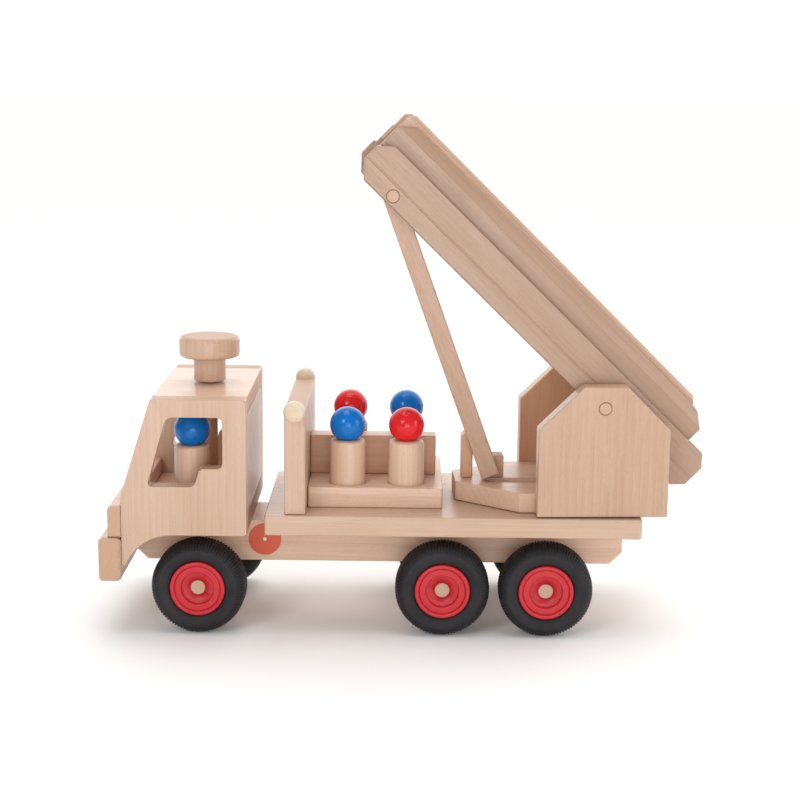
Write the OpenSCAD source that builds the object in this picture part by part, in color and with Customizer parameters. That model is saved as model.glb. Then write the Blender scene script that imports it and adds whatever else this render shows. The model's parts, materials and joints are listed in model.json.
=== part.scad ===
// Wooden toy fire engine: a cab with a driver, a bench with four riders and a
// turntable ladder in three sections on a three-axle chassis.
// Millimetres. The truck stands on z = 0 and drives toward -X. +Y is its right side.
// The turret, the front axle and the ladder are drawn in their resting pose.

/* [Whole truck] */
// distance from the front face of the bumper back to the model origin
origin_back = 238.4; // [200:0.1:280]
// thickness of the common beech boards
board_t = 16; // [12:0.5:20]
// diameter of the thin hinge dowels of the ladder
dowel_d = 10; // [6:0.5:12]
// radial running clearance of every turning or lifting wooden fit
fit_gap = 0.08; // [0.02:0.01:0.1]

/* [Wheels and axles] */
// outside diameter of a tyre
tyre_d = 75; // [60:0.5:90]
// width of a tyre
tyre_w = 30; // [20:0.5:34]
// distance between the middles of the left and right tyres
track_w = 124; // [110:1:150]
// diameter of the visible rim
rim_d = 44; // [36:0.5:50]
// distance from the tyre middle out to the rim face
rim_face = 13.7; // [6:0.1:15]
// diameter of the round recess in the rim face
rim_recess_d = 26; // [18:0.5:34]
// depth of the round recess in the rim face
rim_recess = 4.7; // [2:0.1:7]
// diameter of the wooden axles
axle_d = 12.6; // [8:0.2:16]
// front axle position behind the bumper face
front_axle_s = 80.2; // [70:0.1:95]
// first rear axle position behind the bumper face
rear_axle_1_s = 271.3; // [250:0.1:300]
// second rear axle position behind the bumper face
rear_axle_2_s = 353.6; // [330:0.1:370]

/* [Chassis and deck] */
// width of the chassis beam
beam_w = 57.2; // [40:0.5:80]
// underside height of the chassis beam
beam_z0 = 48; // [44:0.5:60]
// top height of the chassis beam
beam_z1 = 82; // [70:0.5:90]
// rear end of the chassis beam behind the bumper face
beam_end_s = 419.1; // [400:0.1:430]
// front end of the deck board behind the bumper face
deck_s0 = 130.2; // [120:0.1:140]
// rear end of the deck board behind the bumper face
deck_s1 = 427.9; // [400:0.1:440]
// width of the deck board
deck_w = 149.8; // [120:0.2:160]
// width of the bumper
bumper_w = 165; // [140:0.5:180]
// thickness of the bumper
bumper_t = 18.1; // [10:0.1:20]
// underside height of the bumper
bumper_z0 = 44.5; // [40:0.5:60]
// top height of the bumper
bumper_z1 = 80; // [70:0.5:90]
// width of the grille board that stands on the bumper
grille_w = 159; // [120:0.5:165]
// top height of the grille board
grille_z1 = 106; // [95:0.5:115]
// front face of the grille board behind the bumper face
grille_s0 = 7.6; // [5:0.1:10]
// thickness of the grille board
grille_t = 10.4; // [6:0.1:12]
// where the flat underside of the beam begins behind the bumper face
beam_flat_s = 31.3; // [25:0.1:40]
// size of the sloping cut under the rear end of the beam
beam_tail_cut = 10; // [0:0.5:16]
// underside height of the axle blocks
block_z0 = 28; // [26:0.5:30]
// length of an axle block along the truck
block_len = 30; // [20:0.5:36]
// diameter of the boss of the front axle block that turns in the beam
boss_d = 44; // [30:0.5:50]
// top height of that boss
boss_z1 = 60; // [54:0.5:64]

/* [Cab] */
// width over both side panels
cab_w = 156.4; // [130:0.2:165]
// thickness of the side panels
cab_side_t = 14; // [10:0.5:18]
// roof height
cab_z1 = 191; // [170:0.5:210]
// rear face of the cab behind the bumper face
cab_back_s = 116.6; // [105:0.1:125]
// front edge of the cab sides below the windscreen
cab_front_s = 18.1; // [16:0.1:30]
// upper front corner of the cab sides
cab_roof_s = 42.6; // [30:0.1:60]
// height of the corner between windscreen and front edge
cab_knee_z = 112.8; // [100:0.1:130]
// lower end of the cab sides in front of the wheel
cab_chin_z = 57; // [50:0.5:65]
// thickness of the low board under the windscreen
cab_front_t = 12; // [8:0.5:16]
// middle of the wheel arch behind the bumper face
arch_s = 58; // [50:0.5:70]
// height of the middle of the wheel arch
arch_z = 42; // [36:0.5:48]
// radius of the wheel arch
arch_r = 40; // [38:0.5:44]
// front end of the side windows behind the bumper face
window_s0 = 38.9; // [36:0.1:44]
// rear end of the side windows behind the bumper face
window_s1 = 98.3; // [90:0.1:104]
// height of the raised rear part of the window sill
window_step_z = 136; // [124:0.5:150]
// where the window sill steps up
window_step_s = 78.2; // [60:0.1:90]
// sill height of the side windows
window_z0 = 121.3; // [112:0.1:130]
// top height of the side windows
window_z1 = 176.7; // [160:0.1:182]

/* [Steering knob] */
// diameter of the knob head
knob_d = 49; // [36:0.5:60]
// diameter of the knob stem
knob_stem_d = 25.7; // [18:0.1:32]
// height where the knob stem begins
knob_stem_z = 192.4; // [191.5:0.1:200]
// height where the knob head begins
knob_head_z = 212; // [200:0.1:220]
// top height of the knob
knob_top_z = 229; // [220:0.5:240]
// diameter of the steering shaft
shaft_d = 12; // [8:0.5:16]

/* [Headboard, bench and riders] */
// front face of the headboard behind the bumper face
head_s0 = 145.7; // [140:0.1:150]
// thickness of the headboard
head_t = 16.7; // [12:0.1:20]
// width of the headboard
head_w = 142; // [120:0.5:150]
// top height of the headboard
head_z1 = 181.5; // [160:0.5:190]
// diameter of the two lamp balls
ball_d = 17; // [12:0.1:22]
// distance of a lamp ball from the middle
ball_y = 73.8; // [50:0.1:74]
// front end of the bench behind the bumper face
bench_s0 = 162.6; // [162.5:0.1:170]
// length of the bench
bench_len = 108.4; // [90:0.1:115]
// left edge of the bench
bench_y0 = -47; // [-60:0.5:-40]
// right edge of the bench
bench_y1 = 70; // [50:0.5:74]
// top height of the bench
bench_z1 = 114.5; // [108:0.5:120]
// length of the backrest
backrest_len = 103.5; // [80:0.1:110]
// left face of the backrest
backrest_y0 = 1; // [-4:0.5:6]
// thickness of the backrest
backrest_t = 18; // [12:0.5:24]
// top height of the backrest
backrest_z1 = 147; // [130:0.5:160]
// diameter of a rider's body and head
rider_d = 28.7; // [20:0.1:34]
// height of the middle of a bench rider's head
rider_head_z = 162; // [155:0.5:170]
// top height of a bench rider's body
rider_body_z1 = 150; // [140:0.5:155]
// depth of the seat holes in the bench
seat_hole = 12; // [6:0.5:14]
// front riders behind the bumper face
rider_s1 = 194.1; // [185:0.1:200]
// rear riders behind the bumper face
rider_s2 = 241.6; // [230:0.1:250]
// left riders across the truck
rider_y1 = -26; // [-32:0.5:-20]
// right riders across the truck
rider_y2 = 48.5; // [40:0.5:55]
// driver behind the bumper face
driver_s = 69.8; // [60:0.1:75]
// driver across the truck
driver_y = -37; // [-45:0.5:-25]
// how much lower the driver's head is than the riders' heads
driver_drop = 3; // [0:0.5:6]

/* [Turret] */
// turning axis of the turret behind the bumper face
tower_s = 392.55; // [380:0.05:400]
// turn of the turret at rest, counted from straight ahead, seen from above
turntable_rest = 2.7; // [-10:0.1:10]
// steering angle at rest
steer_rest = -2.5; // [-12:0.1:12]
// length of the turntable plate ahead of the axis
plate_front = 111.5; // [100:0.1:118]
// length of the turntable plate behind the axis
plate_back = 44; // [30:0.1:46]
// half width of the turntable plate
plate_half = 55.8; // [50:0.1:60]
// underside height of the turntable plate
plate_z0 = 98.4; // [98.3:0.1:100]
// top height of the turntable plate
plate_z1 = 114.3; // [110:0.1:118]
// where the sides of the turntable plate begin to run together, ahead of the axis
plate_taper = 63; // [50:0.5:80]
// depth of the sunken track for the foot of the prop
track_depth = 4.2; // [0:0.1:6]
// lower end of the turntable pin
pin_z0 = 66.5; // [60:0.5:80]
// diameter of the turntable pin
pin_d = 16; // [12:0.5:20]
// lower end of the tower plates
tower_z0 = 99; // [98.4:0.1:100]
// shoulder height of the tower plates
tower_shoulder = 169.3; // [150:0.1:180]
// top height of the tower plates
tower_z1 = 203.2; // [190:0.1:215]
// height of the ladder pivot
pivot_z = 186.2; // [175:0.1:195]
// height of the post behind which the prop stands
post_h = 37; // [30:0.5:44]
// height of the block in front of which the prop stands
stop_h = 18.5; // [10:0.5:24]

/* [Ladder] */
// ladder elevation at rest
ladder_rest = 44.2; // [2:0.1:60]
// length of the first section ahead of the pivot
sec1_front = 267.3; // [200:0.1:280]
// length of the first section behind the pivot
sec1_back = 94.5; // [60:0.1:96]
// length of the second section ahead of the pivot
sec2_front = 265.5; // [200:0.1:280]
// length of the second section behind the pivot
sec2_back = 74.2; // [50:0.1:90]
// length of the third section ahead of the pivot
sec3_front = 265; // [200:0.1:280]
// length of the third section behind the pivot
sec3_back = 61.6; // [40:0.1:80]
// height of the outer rails
rail_h = 35.7; // [25:0.1:45]
// pivot height above the lower edge of the outer rails
rail_low = 7; // [5:0.1:12]
// half width over the outer rails
sec1_half = 54; // [48:0.1:55]
// thickness of the outer rails
sec1_t = 11; // [8:0.1:14]
// thickness of the middle rails
sec2_t = 10; // [8:0.1:14]
// thickness of the inner rails
sec3_t = 9; // [7:0.1:14]
// side play between two ladder sections
slide_gap = 0.4; // [0.3:0.05:0.8]
// rung diameter
rung_d = 7; // [5:0.5:8]
// distance from rung to rung
rung_pitch = 30; // [24:0.5:40]
// height of the rungs of the first section over the pivot
rung_w1 = 11; // [8:0.5:16]
// height of the rungs of the second section over the pivot
rung_w2 = 19.5; // [18:0.5:24]
// height of the rungs of the third section over the pivot
rung_w3 = 44; // [40:0.5:50]
// diameter of the thin stop dowel of the second section
stop_d = 5; // [4:0.5:6]
// distance of the prop hinge from the ladder pivot
prop_at = 232; // [200:0.1:240]
// length of the prop from its hinge to the foot
prop_len = 245.6; // [230:0.1:250]
// width of the prop
prop_w = 15; // [12:0.5:18]
// left face of the prop
prop_y0 = -13; // [-20:0.5:-8]
// thickness of the prop
prop_t = 9; // [8:0.5:12]
// angle between prop and ladder at rest
prop_rest = 25.8; // [20:0.1:30]

/* [Hidden] */
$fn = 72;
wheel_z = tyre_d / 2;
rim_seat = 5.5;
deck_z1 = beam_z1 + board_t;
shaft_z0 = 45;
shaft_z1 = knob_head_z + 10;
cab_half = cab_w / 2;
cab_in = cab_half - cab_side_t;
roof_z0 = cab_z1 - board_t;
floor_z1 = beam_z1 + board_t;
back_s0 = cab_back_s - board_t;
screen_slope = (cab_roof_s - cab_front_s) / (cab_z1 - cab_knee_z);
roof_s0 = cab_front_s + screen_slope * (roof_z0 - cab_knee_z);
sec2_out = sec1_half - sec1_t - slide_gap;
sec3_out = sec2_out - sec2_t - slide_gap;
rail_w0 = -rail_low;
rail_w1 = rail_h - rail_low;
sec2_w0 = 14.8;
sec2_w1 = 50.5;
sec3_w0 = 25;
sec3_w1 = 56;
seam_w = 8.1;
tail_dowel_x1 = 78.6;
tail_dowel_x2 = 64.6;
steer_turn = [0, 0, steer_rest];
beech = [0.86, 0.68, 0.52];
beech_light = [0.93, 0.79, 0.64];
beech_dark = [0.76, 0.56, 0.42];
lacquer_red = [0.78, 0.12, 0.08];
lacquer_blue = [0.06, 0.12, 0.45];
rubber_black = [0.10, 0.10, 0.11];
ivory = [0.93, 0.87, 0.74];

// model x of a distance behind the bumper face
function mx(s) = s - origin_back;

// a closed outline with every corner rounded by the matching radius
function rounded(pts, rs, n = 4) =
    [for (i = [0 : len(pts) - 1])
        let (
            p = pts[i],
            a = pts[(i + len(pts) - 1) % len(pts)] - p,
            b = pts[(i + 1) % len(pts)] - p,
            s = p + a / norm(a) * rs[i],
            e = p + b / norm(b) * rs[i]
        )
        for (k = [0 : (rs[i] > 0 ? n : 0)])
            let (t = k / n)
            rs[i] > 0 ? s * (1 - t) * (1 - t) + p * 2 * t * (1 - t) + e * t * t : p
    ];

// a rectangle with its four corners cut
function cut_rect(x0, x1, y0, y1, c) =
    [[x0 + c, y0], [x1 - c, y0], [x1, y0 + c], [x1, y1 - c], [x1 - c, y1], [x0 + c, y1], [x0, y1 - c], [x0, y0 + c]];

// an outline in the x-z plane made into a board between two y positions
module slab_y(pts, y0, y1) {
    translate([0, y1, 0])
        rotate([90, 0, 0])
            linear_extrude(height = y1 - y0)
                polygon(pts);
}

// an outline in the y-z plane made into a bar between two x positions
module bar_x(pts, x0, x1) {
    translate([x0, 0, 0])
        rotate([90, 0, 90])
            linear_extrude(height = x1 - x0)
                polygon(pts);
}

// a round dowel along y with lightly broken ends
module dowel_y(d, y0, y1, c = 0.8) {
    translate([0, y1, 0])
        rotate([90, 0, 0])
            rotate_extrude()
                polygon([[0, 0], [d / 2 - c, 0], [d / 2, c], [d / 2, y1 - y0 - c], [d / 2 - c, y1 - y0], [0, y1 - y0]]);
}

// a round hole along y
module hole_y(d, y0, y1) {
    translate([0, y1, 0])
        rotate([90, 0, 0])
            cylinder(d = d, h = y1 - y0);
}

// a straight board
module board(x0, x1, y0, y1, z0, z1) {
    translate([x0, y0, z0])
        cube([x1 - x0, y1 - y0, z1 - z0]);
}

// ------------------------------------------------------------ chassis
module chassis_beam() {
    color(beech)
    difference() {
        slab_y([
            [mx(beam_flat_s), beam_z0],
            [mx(beam_end_s - beam_tail_cut), beam_z0],
            [mx(beam_end_s), beam_z0 + beam_tail_cut],
            [mx(beam_end_s), beam_z1],
            [mx(bumper_t), beam_z1],
            [mx(bumper_t), beam_z0 + beam_flat_s - bumper_t]
        ], -beam_w / 2, beam_w / 2);
        translate([mx(front_axle_s), 0, beam_z0 - 1])
            cylinder(d = boss_d + 0.8, h = boss_z1 - beam_z0 + 1.4);
        translate([mx(front_axle_s), 0, beam_z0])
            cylinder(d = shaft_d + 2 * fit_gap, h = board_t * 3);
        translate([mx(tower_s), 0, pin_z0 - 0.5])
            cylinder(d = pin_d + 2 * fit_gap, h = board_t * 2);
    }
}

module deck_board() {
    color(beech_light)
    difference() {
        translate([0, 0, beam_z1])
            linear_extrude(height = board_t)
                polygon(rounded([
                    [mx(deck_s0), -deck_w / 2],
                    [mx(deck_s1), -deck_w / 2],
                    [mx(deck_s1), deck_w / 2],
                    [mx(deck_s0), deck_w / 2]
                ], [3, 3, 3, 3]));
        translate([mx(tower_s), 0, beam_z1 - 1])
            cylinder(d = pin_d + 2 * fit_gap, h = board_t + 2);
    }
}

module bumper() {
    c = 2.6;
    color(beech)
    intersection() {
        slab_y(cut_rect(mx(0), mx(bumper_t), bumper_z0, bumper_z1, c), -bumper_w / 2, bumper_w / 2);
        bar_x(cut_rect(-bumper_w / 2, bumper_w / 2, bumper_z0, bumper_z1, c), mx(0), mx(bumper_t));
        translate([0, 0, bumper_z0])
            linear_extrude(height = bumper_z1 - bumper_z0)
                polygon(cut_rect(mx(0), mx(bumper_t), -bumper_w / 2, bumper_w / 2, c));
    }
}

module grille_board() {
    color(beech)
    slab_y(rounded([
        [mx(grille_s0), bumper_z1],
        [mx(grille_s0 + grille_t), bumper_z1],
        [mx(grille_s0 + grille_t), grille_z1],
        [mx(grille_s0), grille_z1]
    ], [0.6, 0.6, 1.5, 5]), -grille_w / 2, grille_w / 2);
}

// ------------------------------------------------------------ cab
module cab_side(y0, y1) {
    color(beech)
    difference() {
        slab_y(rounded([
            [mx(cab_back_s), beam_z1],
            [mx(cab_back_s), cab_z1],
            [mx(cab_roof_s), cab_z1],
            [mx(cab_front_s), cab_knee_z],
            [mx(cab_front_s), cab_chin_z],
            [mx(arch_s), cab_chin_z],
            [mx(arch_s), beam_z1]
        ], [1.5, 2.5, 3, 4, 1, 0, 0]), y0, y1);
        translate([mx(arch_s), 0, arch_z])
            hole_y(2 * arch_r, y0 - 1, y1 + 1);
        slab_y(rounded([
            [mx(window_s0), window_z0],
            [mx(window_step_s - 2), window_z0],
            [mx(window_step_s + 2), window_step_z],
            [mx(window_s1), window_step_z],
            [mx(window_s1), window_z1],
            [mx(window_s0 + 15.7), window_z1]
        ], [5, 5, 3, 5, 5, 6]), y0 - 1, y1 + 1);
    }
}

module cab_side_left() {
    cab_side(-cab_half, -cab_in);
}

module cab_side_right() {
    cab_side(cab_in, cab_half);
}

module cab_roof() {
    color(beech_light)
    difference() {
        slab_y([
            [mx(roof_s0), roof_z0],
            [mx(cab_back_s), roof_z0],
            [mx(cab_back_s), cab_z1],
            [mx(cab_roof_s), cab_z1]
        ], -cab_in, cab_in);
        translate([mx(front_axle_s), 0, roof_z0 - 1])
            cylinder(d = shaft_d + 1, h = board_t + 2);
    }
}

module cab_back() {
    color(beech)
    board(mx(back_s0), mx(cab_back_s), -cab_in, cab_in, floor_z1, roof_z0);
}

module cab_front() {
    color(beech)
    slab_y([
        [mx(cab_front_s), floor_z1],
        [mx(cab_front_s + cab_front_t), floor_z1],
        [mx(cab_front_s + cab_front_t), cab_knee_z - 1],
        [mx(cab_front_s + 1), cab_knee_z - 1],
        [mx(cab_front_s), cab_knee_z - 2]
    ], -cab_in, cab_in);
}

module cab_floor() {
    color(beech)
    difference() {
        board(mx(cab_front_s), mx(cab_back_s), -cab_in, cab_in, beam_z1, floor_z1);
        translate([mx(front_axle_s), 0, beam_z1 - 1])
            cylinder(d = shaft_d + 1, h = board_t + 2);
        translate([mx(driver_s), driver_y, floor_z1 - 3])
            cylinder(d = rider_d + 2 * fit_gap, h = 4);
    }
}

// ------------------------------------------------------------ steering
module steering_knob() {
    color(beech_light)
    translate([mx(front_axle_s), 0, 0])
        rotate_extrude()
            polygon([
                [shaft_d / 2, knob_stem_z],
                [knob_stem_d / 2 - 0.8, knob_stem_z],
                [knob_stem_d / 2, knob_stem_z + 0.8],
                [knob_stem_d / 2, knob_head_z],
                [knob_d / 2 - 3, knob_head_z],
                [knob_d / 2 - 0.9, knob_head_z + 0.9],
                [knob_d / 2, knob_head_z + 3],
                [knob_d / 2, knob_top_z - 3.4],
                [knob_d / 2 - 1, knob_top_z - 1],
                [knob_d / 2 - 3.4, knob_top_z],
                [0, knob_top_z],
                [0, shaft_z1],
                [shaft_d / 2, shaft_z1]
            ]);
}

module steering_shaft() {
    color(beech_dark)
    translate([mx(front_axle_s), 0, shaft_z0])
        cylinder(d = shaft_d, h = shaft_z1 - shaft_z0);
}

module front_axle_block() {
    color(beech)
    translate([mx(front_axle_s), 0, 0])
    rotate(steer_turn)
    difference() {
        union() {
            board(-block_len / 2, block_len / 2, -beam_w / 2, beam_w / 2, block_z0, beam_z0 - 0.5);
            translate([0, 0, beam_z0 - 2])
                cylinder(d = boss_d, h = boss_z1 - beam_z0 + 2);
        }
        translate([0, 0, wheel_z])
            hole_y(axle_d + 2 * fit_gap, -beam_w, beam_w);
        translate([0, 0, shaft_z0])
            cylinder(d = shaft_d, h = board_t);
    }
}

// ------------------------------------------------------------ wheels
module axle() {
    half = track_w / 2 + rim_face - rim_recess;
    color(beech_light)
    dowel_y(axle_d, -half, half, 0.8);
}

// a rim whose outer face looks along +y
module rim() {
    color(lacquer_red)
    translate([0, track_w / 2, 0])
        rotate([-90, 0, 0])
            rotate_extrude()
                polygon([
                    [axle_d / 2, -rim_seat - 3],
                    [rim_d / 2, -rim_seat - 3],
                    [rim_d / 2, -rim_seat],
                    [rim_d / 2 + 2, -rim_seat],
                    [rim_d / 2 + 2, rim_seat],
                    [rim_d / 2, rim_seat],
                    [rim_d / 2, rim_face - 1],
                    [rim_d / 2 - 1, rim_face],
                    [rim_recess_d / 2 + 0.8, rim_face],
                    [rim_recess_d / 2, rim_face - 0.8],
                    [rim_recess_d / 2, rim_face - rim_recess],
                    [axle_d / 2, rim_face - rim_recess]
                ]);
}

// a tyre whose outer face looks along +y
module tyre() {
    w = tyre_w / 2;
    r = tyre_d / 2;
    i = rim_d / 2;
    side = [
        [i, rim_seat],
        [i, w - 3.8],
        [i + 1, w - 2.2],
        [i + 4, w - 0.5],
        [i + 8, w],
        [r - 5.6, w - 0.8],
        [r - 2.6, w - 3],
        [r - 0.8, w - 6],
        [r, w - 9]
    ];
    color(rubber_black)
    translate([0, track_w / 2, 0])
        rotate([-90, 0, 0])
            rotate_extrude()
                polygon(concat(
                    side,
                    [for (k = [len(side) - 1 : -1 : 0]) [side[k][0], -side[k][1]]],
                    [[i + 2, -rim_seat], [i + 2, rim_seat]]
                ));
}

// carries a wheel part to its axle, with the outer face on the chosen side
module at_axle(s, turn, side) {
    translate([mx(s), 0, wheel_z])
        rotate([0, 0, turn])
            rotate([0, 0, side > 0 ? 0 : 180])
                children();
}

module rear_axle_blocks() {
    color(beech)
    for (at = [mx(rear_axle_1_s), mx(rear_axle_2_s)])
        difference() {
            board(at - block_len / 2, at + block_len / 2, -beam_w / 2, beam_w / 2, block_z0, beam_z0);
            translate([at, 0, wheel_z])
                hole_y(axle_d + 2 * fit_gap, -beam_w, beam_w);
        }
}

module front_axle() {
    at_axle(front_axle_s, steer_rest, 1) axle();
}

module front_rim_left() {
    at_axle(front_axle_s, steer_rest, -1) rim();
}

module front_rim_right() {
    at_axle(front_axle_s, steer_rest, 1) rim();
}

module front_tyre_left() {
    at_axle(front_axle_s, steer_rest, -1) tyre();
}

module front_tyre_right() {
    at_axle(front_axle_s, steer_rest, 1) tyre();
}

module rear_axle_1() {
    at_axle(rear_axle_1_s, 0, 1) axle();
}

module rear_rim_1_left() {
    at_axle(rear_axle_1_s, 0, -1) rim();
}

module rear_rim_1_right() {
    at_axle(rear_axle_1_s, 0, 1) rim();
}

module rear_tyre_1_left() {
    at_axle(rear_axle_1_s, 0, -1) tyre();
}

module rear_tyre_1_right() {
    at_axle(rear_axle_1_s, 0, 1) tyre();
}

module rear_axle_2() {
    at_axle(rear_axle_2_s, 0, 1) axle();
}

module rear_rim_2_left() {
    at_axle(rear_axle_2_s, 0, -1) rim();
}

module rear_rim_2_right() {
    at_axle(rear_axle_2_s, 0, 1) rim();
}

module rear_tyre_2_left() {
    at_axle(rear_axle_2_s, 0, -1) tyre();
}

module rear_tyre_2_right() {
    at_axle(rear_axle_2_s, 0, 1) tyre();
}

// ------------------------------------------------------------ headboard, bench, riders
module headboard() {
    color(beech)
    difference() {
        board(mx(head_s0), mx(head_s0 + head_t), -head_w / 2, head_w / 2, deck_z1, head_z1);
        for (side = [-1, 1])
            translate([mx(head_s0 + head_t / 2), side * ball_y, head_z1])
                sphere(d = ball_d);
    }
}

module lamp_balls() {
    color(ivory)
    for (side = [-1, 1])
        translate([mx(head_s0 + head_t / 2), side * ball_y, head_z1])
            sphere(d = ball_d);
}

module seat_hole_at(s, y) {
    translate([mx(s), y, bench_z1 - seat_hole])
        cylinder(d = rider_d + 2 * fit_gap, h = seat_hole + 1);
}

module bench_board() {
    color(beech)
    difference() {
        translate([0, 0, deck_z1])
            linear_extrude(height = bench_z1 - deck_z1)
                polygon(rounded([
                    [mx(bench_s0), bench_y0],
                    [mx(bench_s0 + bench_len), bench_y0],
                    [mx(bench_s0 + bench_len), bench_y1],
                    [mx(bench_s0), bench_y1]
                ], [3, 3, 8, 8]));
        seat_hole_at(rider_s1, rider_y1);
        seat_hole_at(rider_s2, rider_y1);
        seat_hole_at(rider_s1, rider_y2);
        seat_hole_at(rider_s2, rider_y2);
    }
}

module bench_backrest() {
    x0 = mx(head_s0 + head_t);
    color(beech_dark)
    slab_y([
        [x0, bench_z1],
        [x0 + backrest_len, bench_z1],
        [x0 + backrest_len, backrest_z1],
        [x0, backrest_z1]
    ], backrest_y0, backrest_y0 + backrest_t);
}

// a round wooden body with a dished top for the head
module peg_body(z0, z1, head_z) {
    r = rider_d / 2;
    color(beech)
    difference() {
        rotate_extrude()
            polygon([
                [0, z0],
                [r - 1, z0],
                [r, z0 + 1],
                [r, z1 - 3],
                [r - 0.9, z1 - 0.9],
                [r - 3, z1],
                [0, z1]
            ]);
        translate([0, 0, head_z])
            sphere(r = r);
    }
}

module peg_head(head_z, c) {
    color(c)
    translate([0, 0, head_z])
        sphere(d = rider_d);
}

module rider_at(s, y) {
    translate([mx(s), y, 0])
        children();
}

module rider_body() {
    peg_body(bench_z1 - seat_hole + 0.2, rider_body_z1, rider_head_z);
}

module driver_body() {
    rider_at(driver_s, driver_y)
        peg_body(floor_z1 - 2.8, rider_body_z1 - driver_drop, rider_head_z - driver_drop);
}

module driver_head() {
    rider_at(driver_s, driver_y) peg_head(rider_head_z - driver_drop, lacquer_blue);
}

module rider_1_body() {
    rider_at(rider_s1, rider_y1) rider_body();
}

module rider_1_head() {
    rider_at(rider_s1, rider_y1) peg_head(rider_head_z, lacquer_blue);
}

module rider_2_body() {
    rider_at(rider_s2, rider_y1) rider_body();
}

module rider_2_head() {
    rider_at(rider_s2, rider_y1) peg_head(rider_head_z, lacquer_red);
}

module rider_3_body() {
    rider_at(rider_s1, rider_y2) rider_body();
}

module rider_3_head() {
    rider_at(rider_s1, rider_y2) peg_head(rider_head_z, lacquer_red);
}

module rider_4_body() {
    rider_at(rider_s2, rider_y2) rider_body();
}

module rider_4_head() {
    rider_at(rider_s2, rider_y2) peg_head(rider_head_z, lacquer_blue);
}

// ------------------------------------------------------------ turret
// everything on the turret is drawn round its turning axis and then turned
module on_turret() {
    translate([mx(tower_s), 0, 0])
        rotate([0, 0, turntable_rest])
            children();
}

module turntable_plate() {
    color(beech)
    on_turret()
    difference() {
        translate([0, 0, plate_z0])
            linear_extrude(height = plate_z1 - plate_z0)
                polygon([
                    [-plate_front, -14],
                    [-plate_taper, -plate_half],
                    [plate_back - 14, -plate_half],
                    [plate_back, -plate_half + 16],
                    [plate_back, plate_half - 16],
                    [plate_back - 14, plate_half],
                    [-plate_taper, plate_half],
                    [-plate_front, 24]
                ]);
        // sunken track that the prop foot slides along when the ladder is lowered
        slab_y([
            [-89.9, plate_z1 + 1],
            [-89.9, plate_z1],
            [-78, plate_z1 - track_depth],
            [-44, plate_z1 - track_depth],
            [-33, plate_z1],
            [-33, plate_z1 + 1]
        ], -20, -3.4);
        translate([0, 0, plate_z0 - 1])
            cylinder(d = pin_d, h = 30);
    }
}

module turntable_pin() {
    color(beech_light)
    on_turret()
        translate([0, 0, pin_z0])
            cylinder(d = pin_d, h = plate_z1 - pin_z0);
}

module tower_plate(y0, y1) {
    color(beech)
    on_turret()
    difference() {
        slab_y([
            [-51.3, tower_z0],
            [52, tower_z0],
            [52, tower_shoulder - 0.5],
            [17.6, tower_z1],
            [-16.6, tower_z1],
            [-51.3, tower_shoulder]
        ], y0, y1);
        translate([0, 0, pivot_z])
            hole_y(dowel_d, y0 - 1, y1 + 1);
    }
}

module tower_plate_left() {
    tower_plate(-plate_half - board_t, -plate_half);
}

module tower_plate_right() {
    tower_plate(plate_half, plate_half + board_t);
}

module ladder_pivot_dowel() {
    color(beech_light)
    on_turret()
        translate([0, 0, pivot_z])
            dowel_y(dowel_d, -plate_half - board_t, plate_half + board_t, 0.6);
}

module prop_stops() {
    color(beech_dark)
    on_turret()
    union() {
        slab_y([
            [-105.7, plate_z1],
            [-96.6, plate_z1],
            [-96.6, plate_z1 + post_h],
            [-103.5, plate_z1 + post_h],
            [-105.7, plate_z1 + post_h - 3]
        ], -3.4, 12.6);
        slab_y([
            [-87, plate_z1],
            [-71, plate_z1],
            [-71, plate_z1 + stop_h],
            [-87, plate_z1 + stop_h]
        ], -3.4, 12.6);
    }
}

// ------------------------------------------------------------ ladder
// ladder parts are drawn lying level, tip toward -x, round the pivot
module on_ladder() {
    on_turret()
        translate([0, 0, pivot_z])
            rotate([0, ladder_rest, 0])
                children();
}

// a rail: its section in y-z cut to its side outline in x-z, on either side
module rail(section, outline, x0, x1, side) {
    mirror([0, side > 0 ? 1 : 0, 0])
        intersection() {
            bar_x(section, x0, x1);
            slab_y(outline, -60, 0);
        }
}

module sec1_rail(side) {
    x0 = -sec1_front;
    x1 = sec1_back;
    o = sec1_half;
    n = sec1_half - sec1_t;
    color(beech)
    on_ladder()
    difference() {
        rail([
            [-o + 0.8, rail_w0],
            [-n, rail_w0],
            [-n, 20.8],
            [-n - 3.4, 20.8],
            [-n - 3.4, 25.2],
            [-n, 25.2],
            [-n, rail_w1],
            [-o + 0.8, rail_w1],
            [-o, rail_w1 - 0.8],
            [-o, seam_w + 0.8],
            [-o + 0.9, seam_w],
            [-o, seam_w - 0.8],
            [-o, rail_w0 + 0.8]
        ], [
            [x0 + 10.8, rail_w0],
            [x1 - 8.5, rail_w0],
            [x1, rail_w0 + 8.6],
            [x1, rail_w1 - 8.8],
            [x1 - 8.5, rail_w1],
            [x0 + 10.6, rail_w1],
            [x0, rail_w1 - 10],
            [x0, rail_w0 + 12]
        ], x0, x1, side);
        hole_y(dowel_d + 2 * fit_gap, -60, 60);
        translate([-prop_at, 0, 0])
            hole_y(dowel_d, -60, 60);
        for (u = sec1_rung_at)
            translate([-u, 0, rung_w1])
                hole_y(rung_d, -n - 8, n + 8);
        translate([tail_dowel_x1, 0, 21])
            hole_y(rung_d, -n - 8, n + 8);
    }
}

sec1_rung_at = [for (i = [0 : 9]) -65 + rung_pitch * i, 250];
sec2_rung_at = [for (i = [0 : 10]) -55 + rung_pitch * i];
sec3_rung_at = [for (i = [0 : 10]) -48 + rung_pitch * i];

module ladder_1_rail_left() {
    sec1_rail(-1);
}

module ladder_1_rail_right() {
    sec1_rail(1);
}

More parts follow.
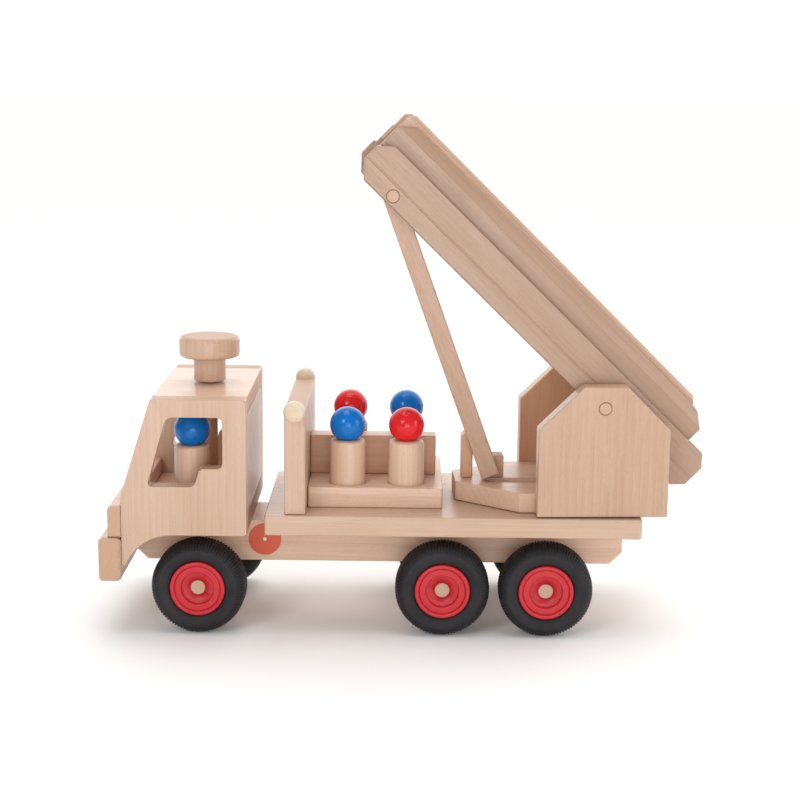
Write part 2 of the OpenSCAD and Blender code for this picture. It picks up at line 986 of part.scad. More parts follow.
module ladder_1_rungs() {
    n = sec1_half - sec1_t + 8;
    color(beech_light)
    on_ladder()
    union() {
        for (u = sec1_rung_at)
            translate([-u, 0, rung_w1])
                dowel_y(rung_d, -n, n, 0.4);
        translate([tail_dowel_x1, 0, 21])
            dowel_y(rung_d, -n, n, 0.4);
    }
}

module sec2_rail(side) {
    x0 = -sec2_front;
    x1 = sec2_back;
    o = sec2_out;
    n = sec2_out - sec2_t;
    color(beech)
    on_ladder()
    difference() {
        rail([
            [-o, sec2_w0],
            [-n, sec2_w0],
            [-n, 34.8],
            [-n - 3.4, 34.8],
            [-n - 3.4, 39.2],
            [-n, 39.2],
            [-n, sec2_w1],
            [-o + 4.5, sec2_w1],
            [-o, sec2_w1 - 9.5],
            [-o, 24.6],
            [-o - 3, 24.6],
            [-o - 3, 21.4],
            [-o, 21.4]
        ], [
            [x0, sec2_w0],
            [x1, sec2_w0],
            [x1, sec2_w1 - 10],
            [x1 - 10.5, sec2_w1 - 1.2],
            [x1 - 15, sec2_w1],
            [x0 + 12, sec2_w1],
            [x0, sec2_w1 - 12]
        ], x0, x1, side);
        for (u = sec2_rung_at)
            translate([-u, 0, rung_w2])
                hole_y(rung_d, -n - 7, n + 7);
        translate([tail_dowel_x2, 0, rung_w3])
            hole_y(stop_d, -n - 4, n + 4);
    }
}

module ladder_2_rail_left() {
    sec2_rail(-1);
}

module ladder_2_rail_right() {
    sec2_rail(1);
}

module ladder_2_rungs() {
    n = sec2_out - sec2_t + 7;
    color(beech_light)
    on_ladder()
    union() {
        for (u = sec2_rung_at)
            translate([-u, 0, rung_w2])
                dowel_y(rung_d, -n, n, 0.4);
        translate([tail_dowel_x2, 0, rung_w3])
            dowel_y(stop_d, -n + 3, n - 3, 0.3);
    }
}

module sec3_rail(side) {
    x0 = -sec3_front;
    x1 = sec3_back;
    o = sec3_out;
    n = sec3_out - sec3_t;
    color(beech)
    on_ladder()
    difference() {
        rail([
            [-o, sec3_w0],
            [-n, sec3_w0],
            [-n, sec3_w1 - 1.5],
            [-n - 1.5, sec3_w1],
            [-o + 2.5, sec3_w1],
            [-o, sec3_w1 - 2.5],
            [-o, 38.6],
            [-o - 3, 38.6],
            [-o - 3, 35.4],
            [-o, 35.4]
        ], [
            [x0, sec3_w0],
            [x1, sec3_w0],
            [x1, sec3_w1 - 8],
            [x1 - 8, sec3_w1],
            [x0 + 4.4, sec3_w1],
            [x0, sec3_w1 - 4.4]
        ], x0, x1, side);
        for (u = sec3_rung_at)
            translate([-u, 0, rung_w3])
                hole_y(rung_d, -n - 6, n + 6);
    }
}

module ladder_3_rail_left() {
    sec3_rail(-1);
}

module ladder_3_rail_right() {
    sec3_rail(1);
}

module ladder_3_rungs() {
    n = sec3_out - sec3_t + 6;
    color(beech_light)
    on_ladder()
        for (u = sec3_rung_at)
            translate([-u, 0, rung_w3])
                dowel_y(rung_d, -n, n, 0.4);
}

module prop_dowel() {
    color(beech_light)
    on_ladder()
        translate([-prop_at, 0, 0])
            dowel_y(dowel_d, -sec1_half, sec1_half, 0.6);
}

module prop() {
    color(beech_dark)
    on_ladder()
    translate([-prop_at, 0, 0])
    rotate([0, prop_rest, 0])
    difference() {
        union() {
            board(0, prop_len, prop_y0, prop_y0 + prop_t, -prop_w / 2, prop_w / 2);
            hole_y(prop_w, prop_y0, prop_y0 + prop_t);
        }
        hole_y(dowel_d + 2 * fit_gap, prop_y0 - 1, prop_y0 + prop_t + 1);
    }
}

// ------------------------------------------------------------ the parts, one at a time
chassis_beam();
deck_board();
bumper();
grille_board();
cab_side_left();
cab_side_right();
cab_roof();
cab_back();
cab_front();
cab_floor();
rear_axle_blocks();
headboard();
lamp_balls();
bench_board();
bench_backrest();
steering_knob();
steering_shaft();
front_axle_block();
front_axle();
front_rim_left();
front_rim_right();
front_tyre_left();
front_tyre_right();
rear_axle_1();
rear_rim_1_left();
rear_rim_1_right();
rear_tyre_1_left();
rear_tyre_1_right();
rear_axle_2();
rear_rim_2_left();
rear_rim_2_right();
rear_tyre_2_left();
rear_tyre_2_right();
turntable_plate();
turntable_pin();
tower_plate_left();
tower_plate_right();
ladder_pivot_dowel();
prop_stops();
prop_dowel();
prop();
ladder_1_rail_left();
ladder_1_rail_right();
ladder_1_rungs();
ladder_2_rail_left();
ladder_2_rail_right();
ladder_2_rungs();
ladder_3_rail_left();
ladder_3_rail_right();
ladder_3_rungs();
driver_body();
driver_head();
rider_1_body();
rider_1_head();
rider_2_body();
rider_2_head();
rider_3_body();
rider_3_head();
rider_4_body();
rider_4_head();
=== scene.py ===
"""Looks of the wooden toy fire engine: beech boards, lacquered heads, red rims and black tyres."""
import json
import math
import random

import bmesh
import bpy
from mathutils import Matrix, Vector


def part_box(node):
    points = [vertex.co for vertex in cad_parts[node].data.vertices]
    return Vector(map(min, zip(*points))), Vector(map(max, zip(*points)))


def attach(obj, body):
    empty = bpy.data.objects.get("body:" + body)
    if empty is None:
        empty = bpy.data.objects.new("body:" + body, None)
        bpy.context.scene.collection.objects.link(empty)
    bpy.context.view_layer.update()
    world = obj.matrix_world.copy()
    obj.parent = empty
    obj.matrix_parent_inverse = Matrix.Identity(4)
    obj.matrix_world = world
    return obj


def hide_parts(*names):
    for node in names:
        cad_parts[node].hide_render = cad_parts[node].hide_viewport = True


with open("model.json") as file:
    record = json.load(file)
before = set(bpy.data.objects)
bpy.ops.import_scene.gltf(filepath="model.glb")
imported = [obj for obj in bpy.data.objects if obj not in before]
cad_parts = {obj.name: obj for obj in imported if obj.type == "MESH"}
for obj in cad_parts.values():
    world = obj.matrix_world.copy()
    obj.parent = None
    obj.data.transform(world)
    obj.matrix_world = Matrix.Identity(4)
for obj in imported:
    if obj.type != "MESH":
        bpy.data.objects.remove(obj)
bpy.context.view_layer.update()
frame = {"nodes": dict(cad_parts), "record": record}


MM = 0.001
NODES = frame["nodes"]
JOINTS = {joint["name"]: joint for joint in frame["record"]["behaviour"]["joints"]}
X_AXIS = Vector((1, 0, 0))
Y_AXIS = Vector((0, 1, 0))
Z_AXIS = Vector((0, 0, 1))

CAMERA_PLACE = (-0.0006, -1.3271, 0.4406)
CAMERA_TILT = (11.225, 0.079, 0.654)
CAMERA_LENS = 74.2
DOME_FRONT = 0.30
DOME_BEHIND = 1.85
BACKDROP = 1.2
FLOOR_HALF = 30


# ---------------------------------------------------------------- camera, light, floor
def make_camera():
    data = bpy.data.cameras.new("camera")
    data.lens = CAMERA_LENS
    data.sensor_width = 36.0
    data.clip_end = 60
    camera = bpy.data.objects.new("camera", data)
    pitch, yaw, roll = (math.radians(a) for a in CAMERA_TILT)
    turn = (
        Matrix.Rotation(yaw, 4, "Z")
        @ Matrix.Rotation(math.pi / 2 - pitch, 4, "X")
        @ Matrix.Rotation(roll, 4, "Z")
    )
    camera.matrix_world = Matrix.Translation(CAMERA_PLACE) @ turn
    bpy.context.collection.objects.link(camera)
    bpy.context.scene.camera = camera


def point_at(obj, place, target):
    obj.location = place
    obj.rotation_euler = (Vector(target) - Vector(place)).to_track_quat("-Z", "Y").to_euler()


def make_sun(name, direction, strength, angle):
    data = bpy.data.lights.new(name, "SUN")
    data.energy = strength
    data.angle = math.radians(angle)
    sun = bpy.data.objects.new(name, data)
    point_at(sun, Vector(direction) * 2, (0, 0, 0))
    bpy.context.collection.objects.link(sun)


def make_softbox(name, place, target, size, energy):
    data = bpy.data.lights.new(name, "AREA")
    data.energy = energy
    data.shape = "SQUARE"
    data.size = size
    box = bpy.data.objects.new(name, data)
    point_at(box, place, target)
    bpy.context.collection.objects.link(box)


def make_world():
    """A white tent: brighter behind the truck, plain white straight into the camera."""
    world = bpy.data.worlds.new("studio")
    bpy.context.scene.world = world
    world.use_nodes = True
    tree = world.node_tree
    tree.nodes.clear()
    out = tree.nodes.new("ShaderNodeOutputWorld")
    mix = tree.nodes.new("ShaderNodeMixShader")
    path = tree.nodes.new("ShaderNodeLightPath")
    away = tree.nodes.new("ShaderNodeVectorMath")
    away.operation = "DOT_PRODUCT"
    away.inputs[1].default_value = Vector((0.25, 1.0, 0.1)).normalized()
    rise = tree.nodes.new("ShaderNodeMapRange")
    rise.interpolation_type = "SMOOTHSTEP"
    rise.inputs["From Min"].default_value = -0.1
    rise.inputs["From Max"].default_value = 0.9
    rise.inputs["To Min"].default_value = DOME_FRONT
    rise.inputs["To Max"].default_value = DOME_BEHIND
    dome = tree.nodes.new("ShaderNodeBackground")
    dome.inputs["Color"].default_value = (1.0, 0.995, 0.99, 1)
    back = tree.nodes.new("ShaderNodeBackground")
    back.inputs["Color"].default_value = (1, 1, 1, 1)
    back.inputs["Strength"].default_value = BACKDROP
    tree.links.new(tree.nodes.new("ShaderNodeTexCoord").outputs["Generated"], away.inputs[0])
    tree.links.new(away.outputs["Value"], rise.inputs["Value"])
    tree.links.new(rise.outputs["Result"], dome.inputs["Strength"])
    tree.links.new(path.outputs["Is Camera Ray"], mix.inputs[0])
    tree.links.new(dome.outputs[0], mix.inputs[1])
    tree.links.new(back.outputs[0], mix.inputs[2])
    tree.links.new(mix.outputs[0], out.inputs["Surface"])


def make_floor():
    mesh = bpy.data.meshes.new("floor")
    half = FLOOR_HALF
    corners = [(-half, -half, 0), (half, -half, 0), (half, half, 0), (-half, half, 0)]
    mesh.from_pydata(corners, [], [(0, 1, 2, 3)])
    floor = bpy.data.objects.new("floor", mesh)
    bpy.context.collection.objects.link(floor)
    mat = bpy.data.materials.new("floor_paint")
    mat.use_nodes = True
    shader = mat.node_tree.nodes["Principled BSDF"]
    shader.inputs["Base Color"].default_value = (0.96, 0.957, 0.953, 1)
    shader.inputs["Roughness"].default_value = 0.9
    shader.inputs["Specular IOR Level"].default_value = 0.0
    mesh.materials.append(mat)


def make_stage():
    make_camera()
    make_world()
    make_floor()
    make_sun("overhead", (-0.05, 0.05, 1.0), 0.90, 40)
    make_softbox("front_left", (-0.75, -1.25, 0.95), (0, 0, 0.12), 0.55, 6.5)
    make_softbox("front_fill", (0.15, -1.80, 0.22), (0, 0, 0.10), 0.90, 9.0)
    make_softbox("right", (1.45, -0.55, 0.50), (0, 0, 0.12), 0.80, 6.0)
    bpy.context.scene.view_settings.view_transform = "Standard"


# ---------------------------------------------------------------- material helpers
class Tree:
    """A few short words for building a node tree."""

    def __init__(self, name):
        self.mat = bpy.data.materials.new(name)
        self.mat.use_nodes = True
        self.tree = self.mat.node_tree
        self.shader = self.tree.nodes["Principled BSDF"]

    def node(self, kind, **settings):
        made = self.tree.nodes.new(kind)
        for key, value in settings.items():
            setattr(made, key, value)
        return made

    def link(self, source, target):
        self.tree.links.new(source, target)

    def set(self, socket, value):
        self.shader.inputs[socket].default_value = value

    def coords(self):
        return self.node("ShaderNodeTexCoord").outputs["Object"]

    def stretch(self, vector, factors):
        made = self.node("ShaderNodeVectorMath", operation="MULTIPLY")
        self.link(vector, made.inputs[0])
        made.inputs[1].default_value = factors
        return made.outputs[0]

    def noise(self, vector, factors, detail=2.0, rough=0.5):
        made = self.node("ShaderNodeTexNoise")
        made.inputs["Scale"].default_value = 1.0
        made.inputs["Detail"].default_value = detail
        made.inputs["Roughness"].default_value = rough
        self.link(self.stretch(vector, factors), made.inputs["Vector"])
        return made.outputs["Fac"]

    def remap(self, value, low, high, to_low, to_high):
        made = self.node("ShaderNodeMapRange")
        made.inputs["From Min"].default_value = low
        made.inputs["From Max"].default_value = high
        made.inputs["To Min"].default_value = to_low
        made.inputs["To Max"].default_value = to_high
        self.link(value, made.inputs["Value"])
        return made.outputs["Result"]

    def math(self, operation, a, b):
        made = self.node("ShaderNodeMath", operation=operation)
        for socket, value in zip(made.inputs, (a, b)):
            if isinstance(value, (int, float)):
                socket.default_value = value
            else:
                self.link(value, socket)
        return made.outputs[0]

    def blend(self, factor, a, b):
        made = self.node("ShaderNodeMix", data_type="RGBA", blend_type="MIX")
        for index, value in ((0, factor), (6, a), (7, b)):
            if isinstance(value, (int, float)):
                made.inputs[index].default_value = value
            elif isinstance(value, tuple):
                made.inputs[index].default_value = (*value, 1)
            else:
                self.link(value, made.inputs[index])
        return made.outputs[2]

    def bump(self, height, strength, distance):
        made = self.node("ShaderNodeBump")
        made.inputs["Strength"].default_value = strength
        made.inputs["Distance"].default_value = distance
        self.link(height, made.inputs["Height"])
        self.link(made.outputs[0], self.shader.inputs["Normal"])


# ---------------------------------------------------------------- materials
WOOD_SMOOTH = 0.25
WOOD_ROUGH = 0.37
END_GRAIN_ROUGH = 0.18


def tinted(color, factor):
    return tuple(min(1.0, c * f) for c, f in zip(color, factor))


def wood(name, along, color, seed, figure):
    """Beech with its grain along a direction: rings, fibres, broad tone and small dark flecks."""
    rng = random.Random(seed)
    t = Tree(name)
    place = t.node("ShaderNodeMapping")
    place.inputs["Rotation"].default_value = Vector(along).rotation_difference(X_AXIS).to_euler()
    heart = rng.uniform(0, math.tau)
    depth = rng.uniform(0.07, 0.16)
    place.inputs["Location"].default_value = (
        rng.uniform(-5, 5), depth * math.cos(heart), depth * math.sin(heart)
    )
    t.link(t.coords(), place.inputs["Vector"])
    grain = place.outputs[0]

    rings = t.node("ShaderNodeTexWave", wave_type="RINGS", rings_direction="X", wave_profile="SAW")
    rings.inputs["Scale"].default_value = rng.uniform(55, 80)
    rings.inputs["Distortion"].default_value = 2.6
    rings.inputs["Detail"].default_value = 1.5
    rings.inputs["Detail Scale"].default_value = 0.25
    t.link(t.stretch(grain, (0.15, 1, 1)), rings.inputs["Vector"])
    broad = t.noise(grain, (3, 30, 30), 2)
    fibre = t.noise(grain, (22, 900, 900), 3, 0.6)
    fleck = t.remap(t.noise(grain, (420, 3400, 3400), 1), 0.64, 0.72, 0, 1)

    pale = tinted(color, (1.09, 1.12, 1.16))
    deep = tinted(color, (0.86, 0.80, 0.73))
    brown = tinted(color, (0.62, 0.52, 0.43))
    ringed = t.math("MULTIPLY", rings.outputs["Fac"], 0.13 * figure)
    shade = t.math("ADD", ringed, t.math("MULTIPLY", fibre, 0.9))
    shade = t.math("ADD", shade, t.math("MULTIPLY", broad, 0.9))
    shade = t.remap(shade, 0.62, 1.30, 0, 1)
    tone = t.blend(shade, pale, deep)
    tone = t.blend(t.math("MULTIPLY", fleck, 0.45), tone, brown)

    facing = t.node("ShaderNodeVectorMath", operation="DOT_PRODUCT")
    t.link(t.node("ShaderNodeTexCoord").outputs["Normal"], facing.inputs[0])
    facing.inputs[1].default_value = tuple(along)
    end = t.remap(t.math("ABSOLUTE", facing.outputs["Value"], 0), 0.72, 0.92, 0, 1)
    pores = t.remap(t.noise(grain, (300, 2600, 2600), 1), 0.55, 0.68, 0, 0.5)
    end_tone = t.blend(pores, tinted(color, (0.95, 0.90, 0.85)), brown)
    end_tone = t.blend(t.math("MULTIPLY", rings.outputs["Fac"], 0.35), end_tone, deep)
    t.link(t.blend(end, tone, end_tone), t.shader.inputs["Base Color"])

    oiled = t.remap(fibre, 0.3, 0.7, WOOD_SMOOTH, WOOD_ROUGH)
    rough = t.math("ADD", oiled, t.math("MULTIPLY", end, END_GRAIN_ROUGH))
    t.link(rough, t.shader.inputs["Roughness"])
    t.set("IOR", 1.5)
    relief = t.math("SUBTRACT", t.math("MULTIPLY", fibre, 0.5), fleck)
    t.bump(relief, 0.35, 0.00008)
    return t.mat


def lacquer(name, color, seed):
    """Thick gloss paint on a turned beech ball, with the wood just showing through."""
    rng = random.Random(seed)
    t = Tree(name)
    place = t.node("ShaderNodeMapping")
    place.inputs["Location"].default_value = tuple(rng.uniform(-3, 3) for _ in range(3))
    t.link(t.coords(), place.inputs["Vector"])
    spot = place.outputs[0]
    streak = t.noise(spot, (700, 700, 90), 2)
    speck = t.remap(t.noise(spot, (1500, 1500, 500), 1), 0.68, 0.76, 0, 0.35)
    tone = t.blend(t.remap(streak, 0.35, 0.65, 0, 0.5), color, tinted(color, (0.78, 0.78, 0.82)))
    tone = t.blend(speck, tone, tinted(color, (1.5, 1.6, 1.35)))
    t.link(tone, t.shader.inputs["Base Color"])
    t.link(t.remap(streak, 0.3, 0.7, 0.10, 0.17), t.shader.inputs["Roughness"])
    t.set("IOR", 1.45)
    t.set("Specular IOR Level", 0.35)
    t.bump(t.noise(spot, (420, 420, 420), 2), 0.25, 0.00006)
    return t.mat


def rim_plastic(name):
    t = Tree(name)
    spot = t.coords()
    cloud = t.noise(spot, (220, 220, 220), 3)
    fine = t.noise(spot, (3000, 3000, 3000), 2)
    t.link(t.blend(cloud, (0.62, 0.018, 0.030), (0.50, 0.012, 0.022)), t.shader.inputs["Base Color"])
    t.link(t.remap(fine, 0.3, 0.7, 0.34, 0.44), t.shader.inputs["Roughness"])
    t.set("IOR", 1.49)
    t.bump(fine, 0.25, 0.00004)
    return t.mat


def tyre_rubber(name):
    t = Tree(name)
    spot = t.coords()
    dust = t.noise(spot, (60, 60, 60), 4)
    fine = t.noise(spot, (2600, 2600, 2600), 2)
    dusty = t.remap(dust, 0.35, 0.7, 0, 1)
    t.link(t.blend(dusty, (0.012, 0.011, 0.013), (0.022, 0.020, 0.023)), t.shader.inputs["Base Color"])
    t.link(t.remap(fine, 0.3, 0.7, 0.52, 0.68), t.shader.inputs["Roughness"])
    t.set("Specular IOR Level", 0.35)
    t.bump(fine, 0.4, 0.00008)
    return t.mat


def sticker_print(name, centre, hub, color):
    """A plain orange disc with one pale dot in its middle."""
    t = Tree(name)
    spot = t.coords()
    away = t.node("ShaderNodeVectorMath", operation="DISTANCE")
    t.link(spot, away.inputs[0])
    away.inputs[1].default_value = tuple(centre)
    dot = t.remap(away.outputs["Value"], hub - 0.0003, hub, 1, 0)
    mottle = t.noise(spot, (900, 900, 900), 2)
    tone = t.blend(mottle, color, tinted(color, (0.9, 0.85, 0.85)))
    t.link(t.blend(dot, tone, (0.86, 0.82, 0.78)), t.shader.inputs["Base Color"])
    t.link(t.remap(mottle, 0.3, 0.7, 0.28, 0.36), t.shader.inputs["Roughness"])
    return t.mat


# ---------------------------------------------------------------- dressing the CAD pieces
BOARD_ROUND = 1.1
CAB_SIDE_ROUND = 0.6
RAIL_ROUND = 0.7
ARRIS_ANGLE = 30
RAIL_ARRIS_ANGLE = 12
WELD_DISTANCE = 0.000002


def soften(node, radius, from_angle=ARRIS_ANGLE):
    """Rounds the arrises of a CAD piece; with no radius it only keeps them crisp."""
    obj = NODES[node]
    merge = obj.modifiers.new("weld", "WELD")
    merge.merge_threshold = WELD_DISTANCE
    if radius:
        if "cab_side" not in node:
            flat = obj.modifiers.new("flat", "DECIMATE")
            flat.decimate_type = "DISSOLVE"
            flat.angle_limit = math.radians(0.6)
        bevel = obj.modifiers.new("arris", "BEVEL")
        bevel.width = radius * MM
        bevel.segments = 2
        bevel.limit_method = "ANGLE"
        bevel.angle_limit = math.radians(from_angle)
        bevel.use_clamp_overlap = False
    else:
        split = obj.modifiers.new("crisp", "EDGE_SPLIT")
        split.split_angle = math.radians(50)
    normals = obj.modifiers.new("normals", "WEIGHTED_NORMAL")
    normals.keep_sharp = not radius
    normals.weight = 90


def give(node, mat):
    mesh = NODES[node].data
    mesh.materials.clear()
    mesh.materials.append(mat)


LADDER = Vector(JOINTS["ladder_extend_2"]["axis"])
TURRET_Y = Vector(JOINTS["ladder_elevate"]["axis"])
TURRET_X = TURRET_Y.cross(Z_AXIS)
PROP_TOP = Vector(JOINTS["prop_swing"]["pos_m"])
FRONT_Y = Vector(JOINTS["front_wheels_spin"]["axis"])
prop_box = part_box("prop")
PROP = ((Vector(prop_box[0]) + Vector(prop_box[1])) / 2 - PROP_TOP).normalized()

BEECH = (0.590, 0.385, 0.272)
PALE = (0.590, 0.405, 0.295)
# deeper, more saturated orange beech: painted shade, the brown that shadow and bounced light give the
# backrest, the far tower plate's inner face, the axle blocks, the shaft and the prop stops
SHADED_BEECH = (0.600, 0.340, 0.205)
# paler beech: painted light, the bright top light and sheen on the roof, bench top and turntable plate
# and the light from the right on the cab back; also the tone of the rider bodies, lighter there for the
# front light on them
PAINTED_LIGHT_BEECH = (0.700, 0.490, 0.365)
RAIL = (0.530, 0.340, 0.235)
OUTER_RAIL = (0.420, 0.272, 0.190)
# much paler beech for the chassis beam: painted light, for the low front light that reaches it in its
# recess under the deck
BEAM_PAINTED_LIGHT = (0.800, 0.560, 0.420)
KNOB = (0.575, 0.385, 0.275)
IVORY = (0.760, 0.640, 0.490)

BOARDS = {
    # the beam's paler tone is painted light
    "chassis_beam": (X_AXIS, BEAM_PAINTED_LIGHT, 1.2),
    "deck_board": (X_AXIS, PALE, 1.0),
    "bumper": (Y_AXIS, BEECH, 1.6),
    "grille_board": (Y_AXIS, BEECH, 1.2),
    "cab_side_left": (Z_AXIS, PALE, 1.2),
    "cab_side_right": (Z_AXIS, PALE, 1.2),
    # the paler tone on the roof, cab back, bench top and turntable plate is painted light
    "cab_roof": (X_AXIS, PAINTED_LIGHT_BEECH, 1.2),
    "cab_back": (Z_AXIS, PAINTED_LIGHT_BEECH, 1.2),
    "cab_front": (Z_AXIS, BEECH, 1.2),
    "cab_floor": (X_AXIS, BEECH, 1.2),
    # the deep orange tone on the axle blocks, backrest, far tower plate and prop stops is painted shade
    "rear_axle_blocks": (Y_AXIS, SHADED_BEECH, 1.2),
    "bench_board": (X_AXIS, PAINTED_LIGHT_BEECH, 1.4),
    "bench_backrest": (X_AXIS, SHADED_BEECH, 1.2),
    "front_axle_block": (FRONT_Y, SHADED_BEECH, 1.2),
    "turntable_plate": (TURRET_X, PAINTED_LIGHT_BEECH, 1.0),
    "tower_plate_left": (Z_AXIS, RAIL, 1.1),
    "tower_plate_right": (Z_AXIS, SHADED_BEECH, 1.1),
    "prop_stops": (Z_AXIS, SHADED_BEECH, 1.1),
    "prop": (PROP, RAIL, 1.1),
}
TURNED = {
    "steering_knob": (Z_AXIS, KNOB, 1.4),
    # the deep orange tone on the steering shaft is painted shade
    "steering_shaft": (Z_AXIS, SHADED_BEECH, 1.0),
    "front_axle": (FRONT_Y, PALE, 1.0),
    "rear_axle_1": (Y_AXIS, PALE, 1.0),
    "rear_axle_2": (Y_AXIS, PALE, 1.0),
    "lamp_balls": (Y_AXIS, IVORY, 0.6),
    "turntable_pin": (Z_AXIS, PALE, 1.0),
    "ladder_pivot_dowel": (TURRET_Y, PALE, 1.0),
    "prop_dowel": (TURRET_Y, PALE, 1.0),
    "ladder_1_rungs": (TURRET_Y, PALE, 1.0),
    "ladder_2_rungs": (TURRET_Y, PALE, 1.0),
    "ladder_3_rungs": (TURRET_Y, PALE, 1.0),
}


def dress_wood():
    seed = 11
    for section in (1, 2, 3):
        for side in ("left", "right"):
            tone = RAIL if section == 3 else OUTER_RAIL
            BOARDS[f"ladder_{section}_rail_{side}"] = (LADDER, tone, 1.1)
    for node, (along, color, figure) in BOARDS.items():
        seed += 1
        give(node, wood(f"beech_{node}", along, color, seed, figure))
        if "ladder" in node:
            soften(node, RAIL_ROUND, RAIL_ARRIS_ANGLE)
        elif "cab_side" in node:
            soften(node, CAB_SIDE_ROUND)
        else:
            soften(node, BOARD_ROUND)
    for node, (along, color, figure) in TURNED.items():
        seed += 1
        give(node, wood(f"beech_{node}", along, color, seed, figure))
        soften(node, 0)
    # the rider bodies take the paler tone, painted light
    for node in [n for n in NODES if n.endswith("_body")]:
        seed += 1
        give(node, wood(f"beech_{node}", Z_AXIS, PAINTED_LIGHT_BEECH, seed, 1.8))
        soften(node, 0)


def dress_paint():
    red = (0.740, 0.016, 0.020)
    blue = (0.002, 0.160, 0.540)
    seed = 90
    for node in [n for n in NODES if n.endswith("_head")]:
        seed += 1
        is_red = node in ("rider_2_head", "rider_3_head")
        give(node, lacquer(f"lacquer_{node}", red if is_red else blue, seed))
        soften(node, 0)


# ---------------------------------------------------------------- headboard
HEADBOARD_ROUND = 1.3


def make_headboard():
    """The board with its arrises rounded; the two balls sit in the ends of its top edge."""
    low, high = (Vector(corner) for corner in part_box("headboard"))
    made = bmesh.new()
    bmesh.ops.create_cube(made, size=1.0)
    for vert in made.verts:
        vert.co = (low + high) / 2 + Vector(c * s for c, s in zip(vert.co, high - low))
    bmesh.ops.bevel(
        made, geom=made.edges[:], offset=HEADBOARD_ROUND * MM, segments=3, profile=0.5, affect="EDGES"
    )
    mesh = bpy.data.meshes.new("headboard_round")
    made.to_mesh(mesh)
    made.free()
    mesh.shade_smooth()
    mesh.materials.append(wood("beech_headboard", Z_AXIS, PALE, 71, 1.2))
    piece = bpy.data.objects.new("headboard_round", mesh)
    bpy.context.collection.objects.link(piece)
    piece.modifiers.new("normals", "WEIGHTED_NORMAL").weight = 90
    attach(piece, "chassis")
    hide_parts("headboard")


# ---------------------------------------------------------------- tyres and rims
TYRE_R = 37.5
BEAD_R = 22.0
LUGS = 92
TREAD_DEPTH = 0.85
LUG_WAVE = ((0.0, 0), (0.13, 1), (0.40, 1), (0.53, 0))
RIM_STEPS = 96


def wheel_frame(node):
    """The middle of a wheel part's box, the way out of the truck, and the way along the road."""
    low, high = (Vector(corner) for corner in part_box(node))
    axle = FRONT_Y if node.startswith("front") else Y_AXIS
    middle = (low + high) / 2
    side = axle * (1 if middle.y > 0 else -1)
    return middle, side, side.cross(Z_AXIS)


def ring_piece(made, loops, name, mat):
    """Joins the section loops round the axle into one closed, smooth piece."""
    count = len(loops[0])
    for i, loop in enumerate(loops):
        after = loops[(i + 1) % len(loops)]
        for k in range(count):
            made.faces.new((loop[k], after[k], after[(k + 1) % count], loop[(k + 1) % count]))
    bmesh.ops.recalc_face_normals(made, faces=made.faces)
    mesh = bpy.data.meshes.new(name)
    made.to_mesh(mesh)
    made.free()
    mesh.materials.append(mat)
    mesh.shade_smooth()
    piece = bpy.data.objects.new(name, mesh)
    bpy.context.collection.objects.link(piece)
    piece.modifiers.new("normals", "WEIGHTED_NORMAL").keep_sharp = False
    return piece


def tyre_profile():
    """Points (radius, offset, share of the tread cut) round one tyre section, in millimetres."""
    half = [
        (BEAD_R, 5.5, 0), (BEAD_R, 11.2, 0), (BEAD_R + 0.6, 12.2, 0), (BEAD_R + 2.0, 13.3, 0),
        (BEAD_R + 4.5, 14.4, 0), (BEAD_R + 7.5, 14.9, 0), (BEAD_R + 9.2, 14.7, 0),
        (BEAD_R + 10.0, 14.2, 0.5), (BEAD_R + 11.6, 13.2, 1), (TYRE_R - 2.4, 11.7, 1),
        (TYRE_R - 1.1, 9.8, 1), (TYRE_R - 0.3, 7.8, 1), (TYRE_R, 6.0, 1), (TYRE_R, 3.6, 1),
        (TYRE_R - 0.9, 3.3, 0), (TYRE_R - 0.9, 2.1, 0), (TYRE_R, 1.8, 0.6),
    ]
    outer = half + [(r, -a, c) for r, a, c in reversed(half)]
    return outer + [(BEAD_R + 2, -5.5, 0), (BEAD_R + 2, 5.5, 0)]


def make_tyre(node, mat):
    middle, side, forward = wheel_frame(node)
    profile = tyre_profile()
    made = bmesh.new()
    loops = []
    for lug in range(LUGS):
        for phase, depth in LUG_WAVE:
            angle = math.tau * (lug + phase) / LUGS
            spoke = forward * math.cos(angle) + Z_AXIS * math.sin(angle)
            cut = TREAD_DEPTH * depth
            loops.append([
                made.verts.new(middle + side * (a * MM) + spoke * ((r - cut * c) * MM))
                for r, a, c in profile
            ])
    piece = ring_piece(made, loops, node + "_tread", mat)
    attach(piece, wheel_body(node))
    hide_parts(node)


RIM_PROFILE = (
    (5.9, 9.0), (12.4, 9.0), (12.9, 9.3), (13.1, 9.9), (13.1, 12.0), (13.4, 12.5), (13.9, 12.7),
    (17.6, 12.7), (18.0, 12.5), (18.2, 12.0), (18.6, 12.0), (18.8, 13.2), (19.3, 13.6), (20.6, 13.7),
    (21.4, 13.5), (21.9, 12.9), (22.0, 12.0), (22.0, 5.5), (23.9, 5.4), (23.9, -5.4), (22.0, -5.5),
    (22.0, -8.0), (21.5, -8.5), (5.9, -8.5),
)
RIM_MIDDLE = 2.6


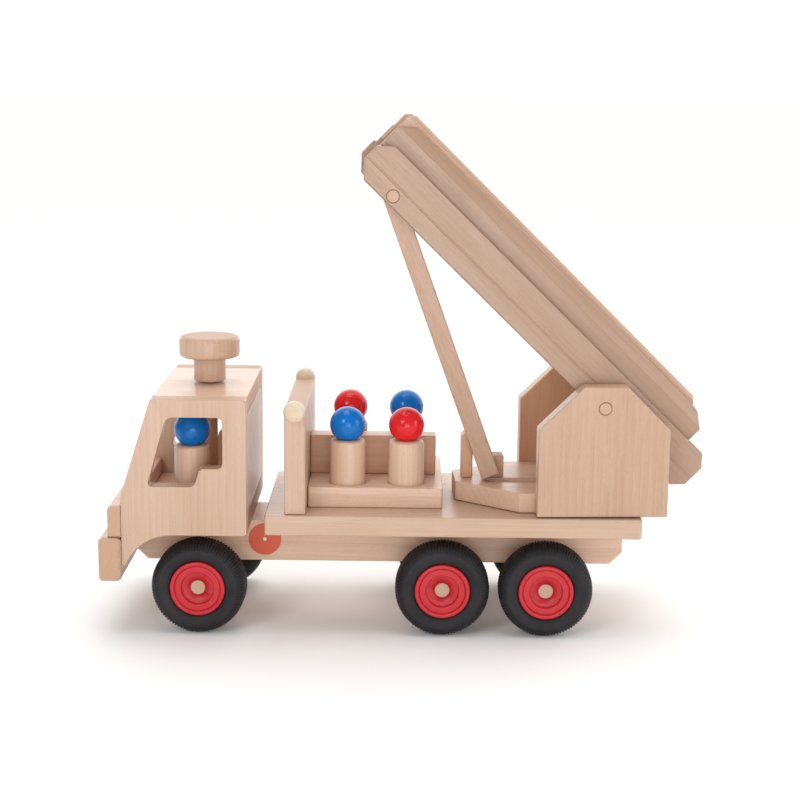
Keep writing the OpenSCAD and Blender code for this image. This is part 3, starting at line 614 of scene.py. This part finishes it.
def make_rim(node, mat):
    """A turned rim: bright outer bead, a fine groove, a lower inner ring and the round recess."""
    middle, side, forward = wheel_frame(node)
    hub = middle - side * (RIM_MIDDLE * MM)
    made = bmesh.new()
    loops = []
    for i in range(RIM_STEPS):
        angle = math.tau * i / RIM_STEPS
        spoke = forward * math.cos(angle) + Z_AXIS * math.sin(angle)
        loops.append([
            made.verts.new(hub + side * (a * MM) + spoke * (r * MM)) for r, a in RIM_PROFILE
        ])
    piece = ring_piece(made, loops, node + "_turned", mat)
    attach(piece, wheel_body(node))
    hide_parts(node)


def wheel_body(node):
    return "front_wheels" if node.startswith("front") else "rear_wheels_" + node.split("_")[2]


def make_wheels():
    rubber = tyre_rubber("tyre_rubber")
    plastic = rim_plastic("rim_red")
    for node in [n for n in NODES if "_tyre_" in n]:
        make_tyre(node, rubber)
    for node in [n for n in NODES if "_rim_" in n]:
        make_rim(node, plastic)


# ---------------------------------------------------------------- sticker
STICKER_AHEAD = 3.2 * MM
STICKER_BELOW = 16.1 * MM
STICKER_DOT = 1.6 * MM
STICKER_ORANGE = (0.792, 0.115, 0.046)


def make_sticker():
    """A thin disc on the left side of the beam, placed from the deck's front edge and the beam's top."""
    beam_low, beam_high = (Vector(corner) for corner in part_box("chassis_beam"))
    deck_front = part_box("deck_board")[0][0]
    centre = Vector((deck_front - STICKER_AHEAD, beam_low.y, beam_high.z - STICKER_BELOW))
    radius = 13.4 * MM
    thick = 0.15 * MM
    steps = 72
    made = bmesh.new()
    rims = []
    for r, lift in ((radius, 0.0), (radius, 0.7 * thick), (radius - 0.3 * thick, thick)):
        rims.append([
            made.verts.new(centre + Vector((
                r * math.cos(math.tau * i / steps), -lift, r * math.sin(math.tau * i / steps)
            )))
            for i in range(steps)
        ])
    for low_rim, high_rim in zip(rims, rims[1:]):
        for i in range(steps):
            j = (i + 1) % steps
            made.faces.new((low_rim[i], low_rim[j], high_rim[j], high_rim[i]))
    made.faces.new(rims[0])
    made.faces.new(rims[-1])
    bmesh.ops.recalc_face_normals(made, faces=made.faces)
    mesh = bpy.data.meshes.new("round_sticker")
    made.to_mesh(mesh)
    made.free()
    mesh.materials.append(sticker_print("sticker_orange", centre, STICKER_DOT, STICKER_ORANGE))
    piece = bpy.data.objects.new("round_sticker", mesh)
    bpy.context.collection.objects.link(piece)
    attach(piece, "chassis")


make_stage()
dress_wood()
dress_paint()
make_headboard()
make_wheels()
make_sticker()
